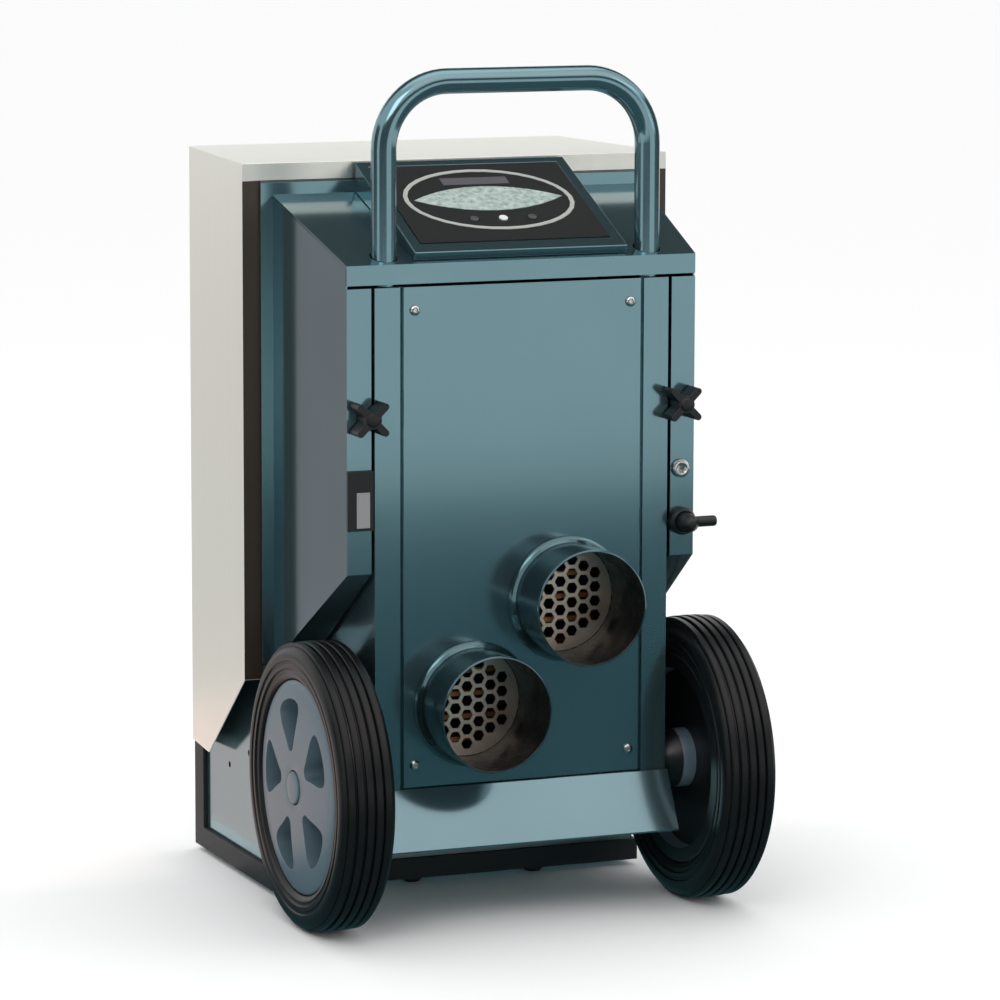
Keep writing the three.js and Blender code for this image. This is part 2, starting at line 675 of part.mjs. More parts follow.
// pointed ellipse bounded by two arcs
function lensShape(half, rise) {
  const radius = (half * half + rise * rise) / (2 * rise);
  const sweepAngle = Math.asin(half / radius);
  const points = [];
  const steps = 10;
  for (let i = 0; i < steps; i++) {
    const a = -sweepAngle + (2 * sweepAngle * i) / steps;
    points.push([radius * Math.sin(a), radius * Math.cos(a) - (radius - rise)]);
  }
  for (let i = 0; i < steps; i++) {
    const a = sweepAngle - (2 * sweepAngle * i) / steps;
    points.push([radius * Math.sin(a), -radius * Math.cos(a) + (radius - rise)]);
  }
  return polygon(points.reverse());
}


function bezel() {
  const plate = box(-BEZEL_HALF, BEZEL_HALF, ...BEZEL_V, -1.3, 0.5);
  const ringGroove = extrude(ellipseShape(RING_OUTER[0] + GAP, RING_OUTER[1] + GAP, [RING_INNER[0] - GAP, RING_INNER[1] - GAP]), 4, 16).translate(PANEL_CENTRE[0], PANEL_CENTRE[1] - 1.5, -0.3);
  const displayCut = extrude(lensShape(LENS_HALF + 0.4, LENS_RISE + 0.4), 4).translate(...PANEL_CENTRE, -0.3);
  const labelCut = box(LABEL.x[0] - GAP, LABEL.x[1] + GAP, LABEL.v[0] - GAP, LABEL.v[1] + GAP, -0.3, 4);
  const buttonCuts = Object.values(BUTTON_X).map((x) => rod(BUTTON_R + 0.4, -6, 6, "z", 12).translate(x, BUTTON_V, 0));
  return onPanel(cut(plate, ringGroove, displayCut, labelCut, ...buttonCuts));
}

const displayRing = () => onPanel(extrude(ellipseShape(...RING_OUTER, RING_INNER), 0.8, 16).translate(PANEL_CENTRE[0], PANEL_CENTRE[1] - 1.5, 0));
const displayWindow = () => onPanel(extrude(lensShape(LENS_HALF, LENS_RISE), 0.8).translate(...PANEL_CENTRE, 0));
const labelBar = () => onPanel(box(...LABEL.x, ...LABEL.v, 0, 0.8));

function panelButton(x) {
  return onPanel(lathe([[0, -0.4], [BUTTON_R, -0.4], [BUTTON_R, 1.2], [BUTTON_R - 0.8, 1.8], [0, 1.9]], "z", 12).translate(x, BUTTON_V, 0));
}

const controlBoard = () => onPanel(box(-80, 80, 30, 135, -10, -8));

// ---------------------------------------------------------------- stainless shell and inlet side
function shell() {
  const plan = (t) => [
    [-SHELL_NEAR_HALF + t, SHELL_NEAR_Y + t],
    [SHELL_NEAR_HALF - t, SHELL_NEAR_Y + t],
    [SHELL_FAR_HALF - t, SHELL_FAR_Y - t],
    [-SHELL_FAR_HALF + t, SHELL_FAR_Y - t],
  ];
  const outer = prismZ(plan(0), SHELL_BOTTOM, SHELL_TOP);
  const inner = prismZ(plan(SHEET), 0, SHELL_TOP - SHEET);
  const mouth = box(
    -SHELL_NEAR_HALF + SHELL_FLANGE_SIDE,
    SHELL_NEAR_HALF - SHELL_FLANGE_SIDE,
    SHELL_NEAR_Y - 5,
    SHELL_NEAR_Y + 10,
    0,
    SHELL_TOP - SHELL_FLANGE_TOP,
  );
  const sideCut = prismX(
    [
      [SHELL_NEAR_Y - 5, 50],
      [SHELL_KNEE_Y, 50],
      [SHELL_KNEE_Y, SHELL_BOTTOM],
      [SHELL_NEAR_Y, SHELL_NEAR_Z],
      [SHELL_NEAR_Y - 5, SHELL_NEAR_Z],
    ],
    -300,
    300,
  );
  const inletCut = box(-GRILLE_HALF + 6, GRILLE_HALF - 6, SHELL_FAR_Y - 10, SHELL_FAR_Y + 5, GRILLE_BOTTOM + 6, GRILLE_TOP - 6);
  return cut(outer, inner, mouth, sideCut, inletCut);
}

function inletGrille() {
  const frame = cut(
    box(-GRILLE_HALF, GRILLE_HALF, SHELL_FAR_Y + GAP, SHELL_FAR_Y + 2.3, GRILLE_BOTTOM, GRILLE_TOP),
    box(-GRILLE_HALF + 10, GRILLE_HALF - 10, SHELL_FAR_Y - 5, SHELL_FAR_Y + 5, GRILLE_BOTTOM + 10, GRILLE_TOP - 10),
  );
  const slats = [];
  for (let z = GRILLE_BOTTOM + 24; z < GRILLE_TOP - 14; z += 22) {
    slats.push(
      prismX(
        [
          [SHELL_FAR_Y - 4, z + 5],
          [SHELL_FAR_Y + 2, z - 1],
          [SHELL_FAR_Y + 2, z + 1.4],
          [SHELL_FAR_Y - 4, z + 7.4],
        ],
        -GRILLE_HALF + 8,
        GRILLE_HALF - 8,
      ),
    );
  }
  const post = box(-3, 3, SHELL_FAR_Y - 4, SHELL_FAR_Y + 0.6, GRILLE_BOTTOM + 8, GRILLE_TOP - 8);
  return union(frame, post, ...slats);
}

function airFilter() {
  const y0 = SHELL_FAR_Y - 18;
  const y1 = SHELL_FAR_Y - 7;
  const frame = cut(
    box(-150, 150, y0, y1, GRILLE_BOTTOM - 2, GRILLE_TOP + 2),
    box(-142, 142, y0 - 5, y1 + 5, GRILLE_BOTTOM + 6, GRILLE_TOP - 6),
  );
  const pad = box(-144, 144, y0 + 4, y1 - 4, GRILLE_BOTTOM + 4, GRILLE_TOP - 4);
  const bars = [-72, 0, 72].map((x) => box(x - 2, x + 2, y0 + 1, y1 - 1, GRILLE_BOTTOM + 2, GRILLE_TOP - 2));
  return union(frame, pad, ...bars);
}

function coil([y0, y1]) {
  const middle = (y0 + y1) / 2;
  const core = box(-COIL_HALF, COIL_HALF, middle - COIL_CORE_T / 2, middle + COIL_CORE_T / 2, COIL_BOTTOM, COIL_TOP);
  const plates = [-COIL_HALF - 2, COIL_HALF].map((x) => box(x, x + 2, y0, y1, COIL_BOTTOM - 2, COIL_TOP + 2));
  const fins = [];
  for (let x = -120; x <= 120; x += 30) fins.push(box(x - 1, x + 1, y0, y1, COIL_BOTTOM, COIL_TOP));
  const headers = [-1, 1].map((e) => rod(6, COIL_BOTTOM + 8, COIL_TOP - 8, "z", 8).translate(COIL_HALF + 7, middle + e * 9, 0));
  return union(core, ...plates, ...fins, ...headers);
}

function dripTray() {
  return union(
    cut(box(-150, 150, 238, 336, 296, 314), box(-148, 148, 240, 334, 298, 330)),
    ring(5, 7, 282, 298.5, "z", 16).translate(-120, 290, 0),
  );
}

function compressorDeck() {
  const plate = box(-BASE_HALF + 2.4, BASE_HALF - 2.4, 157, 352, DECK_Z, DECK_Z + 2);
  const lip = box(-BASE_HALF + 2.4, BASE_HALF - 2.4, 157, 159, DECK_Z, DECK_Z + 14);
  const drain = rod(7, 90, 120, "z", 20).translate(-120, 290, 0);
  return cut(union(plate, lip), drain);
}

function compressor() {
  const can = lathe([[0, 118], [58, 118], [62, 126], [62, 246], [56, 262], [30, 272], [0, 274]], "z", 20);
  const feet = [90, 210, 330].map((deg) =>
    box(40, 78, -10, 10, 118, 121).rotateZ(THREE.MathUtils.degToRad(deg)),
  );
  const terminal = box(-14, 14, -74, -50, 200, 232);
  return union(can, ...feet, terminal).translate(40, 252, 0);
}

// ---------------------------------------------------------------- chassis
function basePan() {
  const walls = [lowerSide(), mirrorX(lowerSide())];
  const floor = box(-BASE_HALF + 1, BASE_HALF - 1, BASE_NEAR_Y + 0.4, BASE_FAR_Y, BASE_BOTTOM + 1, BASE_BOTTOM + 3);
  const rails = [-166, 162].map((x) => box(x, x + 4, 200, BASE_FAR_Y - 4, BASE_BOTTOM + 1, 30));
  const sockets = Object.values(FOOT_POSITIONS).map(([x, y]) => rod(3.4, 0, 20, "z", 10).translate(x, y, 0));
  return cut(union(floor, ...walls, ...rails), ...sockets);
}

function lowerSide() {
  const outline = [
    [BASE_NEAR_Y + 0.4, BASE_BOTTOM + 1],
    [BASE_FAR_Y, BASE_BOTTOM + 1],
    [BASE_FAR_Y, SHELL_BOTTOM - 2],
    [352, SHELL_BOTTOM - 2],
    [352, 190],
    [300, 240],
    [BASE_NEAR_Y + 0.4, 240],
  ];
  const holes = sideScrewSpots.map(([y, z]) => rod(2.9, 150, 200, "x", 12).translate(0, y, z));
  return cut(prismX(outline, BASE_HALF - 2, BASE_HALF), ...holes);
}

const sideScrewSpots = [[220.5, 116], [273.7, 95.5]];

function bumper() {
  const x0 = BASE_HALF + GAP;
  const x1 = x0 + BUMPER_T;
  const y0 = BULKHEAD_Y - GAP - BUMPER_T;
  const y1 = BASE_FAR_Y + GAP;
  const parts = [];
  for (const s of [-1, 1]) {
    const inner = Math.min(s * x0, s * x1);
    parts.push(
      box(inner, inner + BUMPER_T, y0, y1 + BUMPER_T, BASE_BOTTOM, BASE_BOTTOM + BUMPER_H),
      box(inner, inner + BUMPER_T, y1 - BUMPER_POST_W, y1 + BUMPER_T, BASE_BOTTOM, SHELL_BOTTOM - 1),
      box(Math.min(s * 163.5, s * x1), Math.max(s * 163.5, s * x1), y1, y1 + BUMPER_T, BASE_BOTTOM, SHELL_BOTTOM - 1),
    );
  }
  parts.push(box(-x1, x1, y0, y0 + BUMPER_T, BASE_BOTTOM, BASE_BOTTOM + BUMPER_H));
  return union(...parts);
}

function foot([x, y]) {
  const profile = [[0, 0], [FOOT_R - 1.5, 0], [FOOT_R, 1.5], [FOOT_R, BASE_BOTTOM + 1 - GAP], [3, BASE_BOTTOM + 1 - GAP], [3, 7.6], [0, 7.6]];
  return lathe(profile, "z", 10).translate(x, y, 0);
}

// ---------------------------------------------------------------- condensate tank
function waterTank() {
  const outer = box(-TANK_HALF, TANK_HALF, TANK_NEAR_Y, TANK_FAR_Y, TANK_BOTTOM, TANK_TOP);
  const inner = box(
    -TANK_HALF + TANK_WALL,
    TANK_HALF - TANK_WALL,
    TANK_NEAR_Y + TANK_WALL,
    TANK_FAR_Y - TANK_WALL,
    TANK_BOTTOM + TANK_WALL,
    TANK_TOP + 5,
  );
  const grip = cut(
    box(-58, 58, TANK_FAR_Y - 22, TANK_FAR_Y - 1, 52, 86),
    box(-55, 55, TANK_FAR_Y - 19.5, TANK_FAR_Y + 5, 55, 83),
  );
  const gripCut = box(-55, 55, TANK_FAR_Y - 19.5, TANK_FAR_Y + 5, 55, 83);
  return union(cut(outer, inner, gripCut), grip);
}

// ---------------------------------------------------------------- wheels
// half section of the tyre: [radius, distance from its middle plane]
const SIDEWALL = [
  [HUB_R + 0.4, -21],
  [98, -22.3],
  [101, -24.4],
  [112, -WHEEL_HALF_W],
];
const GROOVES = [-12, -4, 4, 12];
const GROOVE_DEPTH = 3.4;
const GROOVE_HALF = 1.2;
const CROWN_DROP = 1.8;
const TREAD_EDGE = 20.5;

function tyreProfile() {
  const crown = (h) => WHEEL_R - CROWN_DROP * Math.pow(h / TREAD_EDGE, 2);
  const tread = [[crown(TREAD_EDGE), -TREAD_EDGE]];
  for (const h of GROOVES) tread.push([crown(h), h - GROOVE_HALF], [WHEEL_R - GROOVE_DEPTH, h], [crown(h), h + GROOVE_HALF]);
  tread.push([crown(TREAD_EDGE), TREAD_EDGE]);
  const far = SIDEWALL.map(([r, h]) => [r, -h]).reverse();
  return [...SIDEWALL, ...tread, ...far, SIDEWALL[0]];
}

const tyre = () => lathe(tyreProfile(), "x", WHEEL_SIDES).translate(WHEEL_X, AXLE_Y, AXLE_Z);

// rounded sector between the spokes, pointing along u
function pocketShape() {
  const inner = { centre: 40, r: 7 };
  const corner = [68, 20]; // radius and half angle of the widest part
  const crown = [75, 15];
  const polar = ([r, deg]) => {
    const a = THREE.MathUtils.degToRad(deg);
    return [r * Math.cos(a), r * Math.sin(a)];
  };
  const points = [[corner[0], -corner[1]], [crown[0], -crown[1]], [crown[0] + 1, 0], crown, corner].map(polar);
  for (let i = 0; i <= 4; i++) {
    const a = Math.PI / 2 + (Math.PI * i) / 4;
    points.push([inner.centre + inner.r * Math.cos(a), inner.r * Math.sin(a)]);
  }
  return polygon(points);
}

const CAP_R = AXLE_R + 4.5;

// hub seen from outboard: a shallow dome with pockets between five spokes
function hub() {
  const profile = [
    [AXLE_R + GAP, -HUB_BOSS],
    [16, -HUB_BOSS],
    [26, -22],
    [26, -10],
    [78, -10],
    [80, -21],
    [HUB_R, -21],
    [HUB_R, 20.5],
    [86, 22.3],
    [60, 24.2],
    [24, 25],
    [CAP_R, 25],
    [CAP_R, 18],
    [AXLE_R + GAP, 18],
    [AXLE_R + GAP, -HUB_BOSS],
  ];
  const body = lathe(profile, "x", WHEEL_SIDES);
  const pockets = Array.from({ length: POCKETS }, (_, i) => {
    const angle = THREE.MathUtils.degToRad(FIRST_POCKET_DEG + (i * 360) / POCKETS);
    return extrude(pocketShape(), 40).rotateZ(angle).applyMatrix4(ALONG_X).translate(-4, 0, 0);
  });
  return cut(body, ...pockets).translate(WHEEL_X, AXLE_Y, AXLE_Z);
}

function hubCap() {
  const r = CAP_R - GAP;
  const profile = [[0, 20.5], [r, 20.5], [r, CAP_TOP - 1.2], [r - 1.7, CAP_TOP - 0.2], [0, CAP_TOP]];
  return lathe(profile, "x", 24).translate(WHEEL_X, AXLE_Y, AXLE_Z);
}

const axle = () => rod(AXLE_R, -WHEEL_X - 17.6, WHEEL_X + 17.6, "x", 24).translate(0, AXLE_Y, AXLE_Z);

// ---------------------------------------------------------------- fan
function fanHousing() {
  const spiral = [];
  for (let i = 0; i <= 24; i++) {
    const a = (i / 24) * Math.PI * 1.5;
    const r = SCROLL_R[0] + (i / 24) * (SCROLL_R[1] - SCROLL_R[0]);
    spiral.push([r * Math.cos(a), FAN_Z + r * Math.sin(a)]);
  }
  const outline = [...spiral, [60, FAN_Z - SCROLL_R[1]], [60, FAN_Z - 60], [SCROLL_R[0], FAN_Z - 20]];
  const wallInset = (k) => outline.map(([x, z]) => [x * k, FAN_Z + (z - FAN_Z) * k]);
  const outer = prismY(outline, ...FAN_HOUSING_Y);
  const inner = prismY(wallInset(0.965), FAN_HOUSING_Y[0] + 2, FAN_HOUSING_Y[1] - 2);
  const mouth = rod(INLET_R, 140, 152, "y", 32).translate(0, 0, FAN_Z);
  const motorHole = rod(30, 70, 80, "y", 24).translate(0, 0, FAN_Z);
  const outlet = box(10, 56, 82, 142, FAN_Z - 130, FAN_Z - 96);
  return cut(outer, inner, mouth, motorHole, outlet);
}

function impeller() {
  const [y0, y1] = IMPELLER_Y;
  const back = rod(IMPELLER_R, y0, y0 + 2, "y", 24);
  const shroud = ring(INLET_R + 2, IMPELLER_R, y1 - 2, y1, "y", 24);
  const boss = rod(14, 82, 108, "y", 20);
  const blades = [];
  for (let i = 0; i < FAN_BLADES; i++) {
    blades.push(box(INLET_R + 4, IMPELLER_R - 1, y0 + 1, y1 - 1, -1, 1).rotateY((i / FAN_BLADES) * Math.PI * 2));
  }
  return cut(union(back, shroud, boss, ...blades), rod(FAN_SHAFT_R + GAP, 70, 120, "y", 16)).translate(0, 0, FAN_Z);
}

function fanMotor() {
  const can = lathe([[0, 44], [26, 44], [28, 48], [28, 75], [26, 79], [8, 80], [FAN_SHAFT_R, 80], [FAN_SHAFT_R, 105], [0, 105]], "y", 16);
  return can.translate(0, 0, FAN_Z);
}

// ---------------------------------------------------------------- build
add("column_frame", "paint", columnFrame());
add("side_panel_left", "paint", leftSidePanel());
add("side_panel_right", "paint", rightSidePanel());
add("top_panel", "paint", topPanel());
add("door_panel", "paint", doorPanel());
doorScrewSpots.forEach((spot, i) => add(`door_screw_${i + 1}`, "steel", doorScrew(spot)));
add("skirt", "paint", skirt());
add("bulkhead", "galvanised", bulkhead());
for (const [name, spot] of Object.entries(DUCTS)) {
  add(`duct_collar_${name}`, "paint", ductCollar(spot));
  add(`guard_grid_${name}`, "steel", guardGrid(spot));
}
add("heater_element", "copper", heaterElement());

add("handle", "paint", handle());
addPair("handle_clamp", "black", handleClamp);
addPair("star_knob", "black", starKnob);

add("hour_meter", "black", hourMeter());
add("hour_meter_window", "label", meterWindow());
add("sensor_socket", "steel", sensorSocket());
add("outlet_nut", "black", outletNut());
add("outlet_elbow", "black", outletElbow());

add("control_box", "paint", controlBox());
add("control_bezel", "black", bezel());
add("display_ring", "steel", displayRing());
add("display_window", "aqua", displayWindow());
add("label_bar", "label", labelBar());
for (const [name, x] of Object.entries(BUTTON_X)) add(`button_${name}`, "label", panelButton(x));
add("control_board", "board", controlBoard());

add("shell", "stainless", shell());
add("inlet_grille", "black", inletGrille());
add("air_filter", "filter", airFilter());
add("evaporator", "galvanised", coil(EVAPORATOR_Y));
add("condenser", "galvanised", coil(CONDENSER_Y));
add("drip_tray", "galvanised", dripTray());
add("compressor_deck", "galvanised", compressorDeck());
add("compressor", "black", compressor());
add("water_tank", "tank", waterTank());

add("base_pan", "paint", basePan());
add("bumper_strip", "rubber", bumper());
for (const [name, spot] of Object.entries(FOOT_POSITIONS)) add(`foot_${name}`, "rubber", foot(spot));

add("axle", "steel", axle());
addPair("wheel_tyre", "tyre", tyre);
addPair("wheel_hub", "hub", hub);
addPair("hub_cap", "hub", hubCap);

add("fan_housing", "galvanised", fanHousing());
add("fan_impeller", "black", impeller());
add("fan_motor", "galvanised", fanMotor());

export default root;
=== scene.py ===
"""Looks for the portable dehumidifier: smooth surfaces, materials, floor, lights and camera."""

import json
import math

import bmesh
import bpy
from mathutils import Matrix, Vector


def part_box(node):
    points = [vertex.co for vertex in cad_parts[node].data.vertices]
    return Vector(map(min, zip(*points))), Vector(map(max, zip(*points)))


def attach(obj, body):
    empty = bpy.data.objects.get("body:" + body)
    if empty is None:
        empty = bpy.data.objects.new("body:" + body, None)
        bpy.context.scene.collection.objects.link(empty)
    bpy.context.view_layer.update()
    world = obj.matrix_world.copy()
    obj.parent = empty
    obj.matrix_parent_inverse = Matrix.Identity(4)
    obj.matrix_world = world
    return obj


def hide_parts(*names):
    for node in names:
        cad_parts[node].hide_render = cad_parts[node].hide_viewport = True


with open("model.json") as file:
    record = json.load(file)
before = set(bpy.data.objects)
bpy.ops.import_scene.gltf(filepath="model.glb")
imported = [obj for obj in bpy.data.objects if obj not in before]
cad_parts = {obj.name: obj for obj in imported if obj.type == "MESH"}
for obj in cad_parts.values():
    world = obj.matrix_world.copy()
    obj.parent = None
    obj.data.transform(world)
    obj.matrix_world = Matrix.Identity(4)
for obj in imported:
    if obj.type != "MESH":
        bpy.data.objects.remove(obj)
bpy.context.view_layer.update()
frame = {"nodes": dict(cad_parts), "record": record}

MM = 0.001

# ------------------------------------------------------------------ view
CAMERA_AZIMUTH = math.radians(22.17)
CAMERA_ELEVATION = math.radians(8.61)
CAMERA_ROLL = math.radians(0.17)
CAMERA_DISTANCE = 4.268
CAMERA_TARGET = Vector((0.0197, -0.0316, 0.3516))
CAMERA_LENS = 174.66
SENSOR = 36.0


def make_camera():
    back = Vector(
        (
            -math.sin(CAMERA_AZIMUTH) * math.cos(CAMERA_ELEVATION),
            -math.cos(CAMERA_AZIMUTH) * math.cos(CAMERA_ELEVATION),
            math.sin(CAMERA_ELEVATION),
        )
    )
    data = bpy.data.cameras.new("camera")
    data.lens = CAMERA_LENS
    data.sensor_width = SENSOR
    data.clip_end = 50
    camera = bpy.data.objects.new("camera", data)
    turn = (-back).to_track_quat("-Z", "Y").to_matrix().to_4x4()
    roll = Matrix.Rotation(CAMERA_ROLL, 4, "Z")
    camera.matrix_world = Matrix.Translation(CAMERA_TARGET + back * CAMERA_DISTANCE) @ turn @ roll
    bpy.context.collection.objects.link(camera)
    bpy.context.scene.camera = camera


make_camera()


# ------------------------------------------------------------------ materials
def linear(colour):
    """sRGB values from 0 to 255 as linear light."""
    channels = [c / 255 for c in colour]
    return [c / 12.92 if c <= 0.04045 else ((c + 0.055) / 1.055) ** 2.4 for c in channels] + [1.0]


def new_material(name, colour, roughness, metallic=0.0, coat=0.0, coat_roughness=0.05, specular=0.5):
    material = bpy.data.materials.new(name)
    material.use_nodes = True
    shader = material.node_tree.nodes["Principled BSDF"]
    shader.inputs["Base Color"].default_value = linear(colour)
    shader.inputs["Roughness"].default_value = roughness
    shader.inputs["Metallic"].default_value = metallic
    shader.inputs["Coat Weight"].default_value = coat
    shader.inputs["Coat Roughness"].default_value = coat_roughness
    shader.inputs["Specular IOR Level"].default_value = specular
    return material, shader


def noise(material, scale, detail=2.0, stretch=(1.0, 1.0, 1.0)):
    """A noise texture on object coordinates, stretched along any axis."""
    nodes, links = material.node_tree.nodes, material.node_tree.links
    place = nodes.new("ShaderNodeTexCoord")
    mapping = nodes.new("ShaderNodeMapping")
    mapping.inputs["Scale"].default_value = stretch
    texture = nodes.new("ShaderNodeTexNoise")
    texture.inputs["Scale"].default_value = scale
    texture.inputs["Detail"].default_value = detail
    links.new(place.outputs["Object"], mapping.inputs["Vector"])
    links.new(mapping.outputs["Vector"], texture.inputs["Vector"])
    return texture


def add_bump(material, shader, height, strength, distance):
    nodes, links = material.node_tree.nodes, material.node_tree.links
    bump = nodes.new("ShaderNodeBump")
    bump.inputs["Strength"].default_value = strength
    bump.inputs["Distance"].default_value = distance
    links.new(height, bump.inputs["Height"])
    links.new(bump.outputs["Normal"], shader.inputs["Normal"])
    if "Coat Normal" in shader.inputs:
        links.new(bump.outputs["Normal"], shader.inputs["Coat Normal"])


def vary(material, socket, factor, low, high):
    """Lets a texture move a socket between two values."""
    nodes, links = material.node_tree.nodes, material.node_tree.links
    spread = nodes.new("ShaderNodeMapRange")
    spread.inputs["To Min"].default_value = low
    spread.inputs["To Max"].default_value = high
    links.new(factor, spread.inputs["Value"])
    links.new(spread.outputs["Result"], socket)


def vary_colour(material, shader, factor, low, high):
    nodes, links = material.node_tree.nodes, material.node_tree.links
    mix = nodes.new("ShaderNodeMix")
    mix.data_type = "RGBA"
    mix.inputs["A"].default_value = linear(low)
    mix.inputs["B"].default_value = linear(high)
    links.new(factor, mix.inputs["Factor"])
    links.new(mix.outputs["Result"], shader.inputs["Base Color"])


def paint(name="paint", middle=(109, 141, 149)):
    material, shader = new_material(name, middle, 0.14, metallic=0.9, coat=0.25, coat_roughness=0.05)
    ripple = noise(material, 240, 1.0)
    add_bump(material, shader, ripple.outputs["Fac"], 0.008, 0.0003)
    patches = noise(material, 9, 2.0)
    low, high = (tuple(channel + step for channel in middle) for step in (-4, 4))
    vary_colour(material, shader, patches.outputs["Fac"], low, high)
    return material


def duct_inside_shade():
    # near-black with varying roughness: painted shade inside the duct tubes, which are the collar's own sheet
    material, shader = new_material("duct_inside_shade", (10, 14, 15), 0.25, specular=0.3)
    streak = noise(material, 60, 2.0)
    vary(material, shader.inputs["Roughness"], streak.outputs["Fac"], 0.2, 0.34)
    return material


def stainless():
    material, shader = new_material("stainless", (234, 234, 226), 0.34, metallic=1.0)
    grain = noise(material, 60, 3.0, stretch=(1.0, 1.0, 0.02))
    vary(material, shader.inputs["Roughness"], grain.outputs["Fac"], 0.27, 0.4)
    fine = noise(material, 900, 1.0, stretch=(1.0, 1.0, 0.01))
    add_bump(material, shader, fine.outputs["Fac"], 0.04, 0.0002)
    return material


def painted_body_reflection():
    # dark brown with streaks: painted reflection of the dark body on the shell's flanges
    material, shader = new_material("painted_body_reflection", (58, 50, 42), 0.35, metallic=0.3)
    streak = noise(material, 50, 2.0, stretch=(1.0, 1.0, 0.05))
    vary_colour(material, shader, streak.outputs["Fac"], (44, 38, 32), (70, 60, 50))
    return material


def bright_steel():
    material, shader = new_material("steel", (205, 205, 202), 0.22, metallic=1.0)
    grain = noise(material, 400, 2.0)
    vary(material, shader.inputs["Roughness"], grain.outputs["Fac"], 0.16, 0.3)
    return material


def galvanised():
    material, shader = new_material("galvanised", (158, 163, 164), 0.45, metallic=0.9)
    spangle = noise(material, 60, 2.0)
    vary(material, shader.inputs["Roughness"], spangle.outputs["Fac"], 0.35, 0.55)
    return material


def plastic(name, colour, roughness, grain=500):
    material, shader = new_material(name, colour, roughness)
    texture = noise(material, grain, 2.0)
    add_bump(material, shader, texture.outputs["Fac"], 0.08, 0.0003)
    vary(material, shader.inputs["Roughness"], texture.outputs["Fac"], roughness - 0.05, roughness + 0.05)
    return material


def tyre_rubber():
    material, shader = new_material("tyre", (13, 15, 16), 0.36, specular=0.28)
    dust = noise(material, 40, 3.0)
    vary_colour(material, shader, dust.outputs["Fac"], (10, 12, 13), (18, 20, 21))
    grain = noise(material, 700, 2.0)
    add_bump(material, shader, grain.outputs["Fac"], 0.12, 0.0003)
    return material


def heater_copper():
    material, shader = new_material("copper", (190, 120, 78), 0.35, metallic=1.0)
    tarnish = noise(material, 90, 3.0)
    vary_colour(material, shader, tarnish.outputs["Fac"], (150, 88, 58), (214, 150, 104))
    return material


def lit_display():
    material, shader = new_material("aqua", (170, 188, 184), 0.25, coat=0.6)
    marks = noise(material, 210, 4.0)
    vary_colour(material, shader, marks.outputs["Fac"], (70, 100, 100), (226, 240, 232))
    return material


MATERIALS = {
    "paint": paint(),
    "stainless": stainless(),
    "steel": bright_steel(),
    "galvanised": galvanised(),
    "black": plastic("black", (16, 17, 18), 0.38),
    "black_metal": plastic("black_metal", (24, 25, 27), 0.35),
    "hub": plastic("hub", (76, 94, 104), 0.36),
    "tyre": tyre_rubber(),
    "rubber": plastic("rubber", (26, 28, 30), 0.6),
    "aqua": lit_display(),
    "label": plastic("label", (122, 125, 126), 0.4),
    "copper": heater_copper(),
    "filter": plastic("filter", (214, 217, 217), 0.85, 900),
    "tank": plastic("tank", (198, 204, 208), 0.38),
    "board": plastic("board", (44, 102, 66), 0.5),
}
SLOT_OF = {row["node"]: row["material_slot"] for row in frame["record"]["subparts"]}
BODY_OF = {node: body for body, nodes in frame["record"]["behaviour"]["bodies"].items() for node in nodes}


def guard_wire():
    material, shader = new_material("guard_wire", (216, 200, 184), 0.3, metallic=0.9)
    grain = noise(material, 60, 2.0)
    vary_colour(material, shader, grain.outputs["Fac"], (200, 176, 152), (228, 220, 210))
    return material


def silver_line():
    material, shader = new_material("silver_line", (186, 190, 184), 0.35, metallic=0.2)
    grain = noise(material, 200, 2.0)
    vary(material, shader.inputs["Roughness"], grain.outputs["Fac"], 0.3, 0.4)
    return material


# pieces whose look differs a little from the rest of their slot
OWN_LOOK = {
    "guard_grid_upper": guard_wire(),
    "display_ring": silver_line(),
    "label_bar": plastic("label_bar", (86, 82, 88), 0.4),
    "button_left": plastic("button_dark", (70, 68, 72), 0.4),
    "button_centre": plastic("button_pale", (225, 230, 230), 0.3),
}
OWN_LOOK["guard_grid_lower"] = OWN_LOOK["guard_grid_upper"]
OWN_LOOK["button_right"] = OWN_LOOK["button_left"]


def paint_nodes():
    for name, node in frame["nodes"].items():
        material = OWN_LOOK.get(name, MATERIALS[SLOT_OF[name]])
        if not node.material_slots:
            node.data.materials.append(material)
        for held in node.material_slots:
            held.material = material


# ------------------------------------------------------------------ piece helpers
SMOOTH_ANGLE = math.radians(32)
EDGE_ANGLE = math.radians(30)  # edges sharper than this are rounded
FLAT_ANGLE = math.radians(1)  # facets closer than this count as one flat face
WELD = 0.00001  # metres
# rounding of edges, in millimetres
SHEET_EDGE = 0.45
SMALL_EDGE = 0.4
MOULDED_EDGE = 1.0
MOULDED_SEGMENTS = 3


def finish_piece(piece, nodes, material=None):
    """Gives a new piece its material, shading and body, and hides the CAD nodes it stands for."""
    slot_name = material or SLOT_OF[nodes[0]]
    if not piece.data.materials:
        piece.data.materials.append(MATERIALS[slot_name])
    piece.data.shade_smooth()
    piece.data.set_sharp_from_angle(angle=SMOOTH_ANGLE)
    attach(piece, BODY_OF[nodes[0]])
    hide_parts(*nodes)
    return piece


def object_from(name, mesh_builder):
    mesh = bpy.data.meshes.new(name)
    mesh_builder.normal_update()
    mesh_builder.to_mesh(mesh)
    mesh_builder.free()
    piece = bpy.data.objects.new(name, mesh)
    bpy.context.collection.objects.link(piece)
    return piece


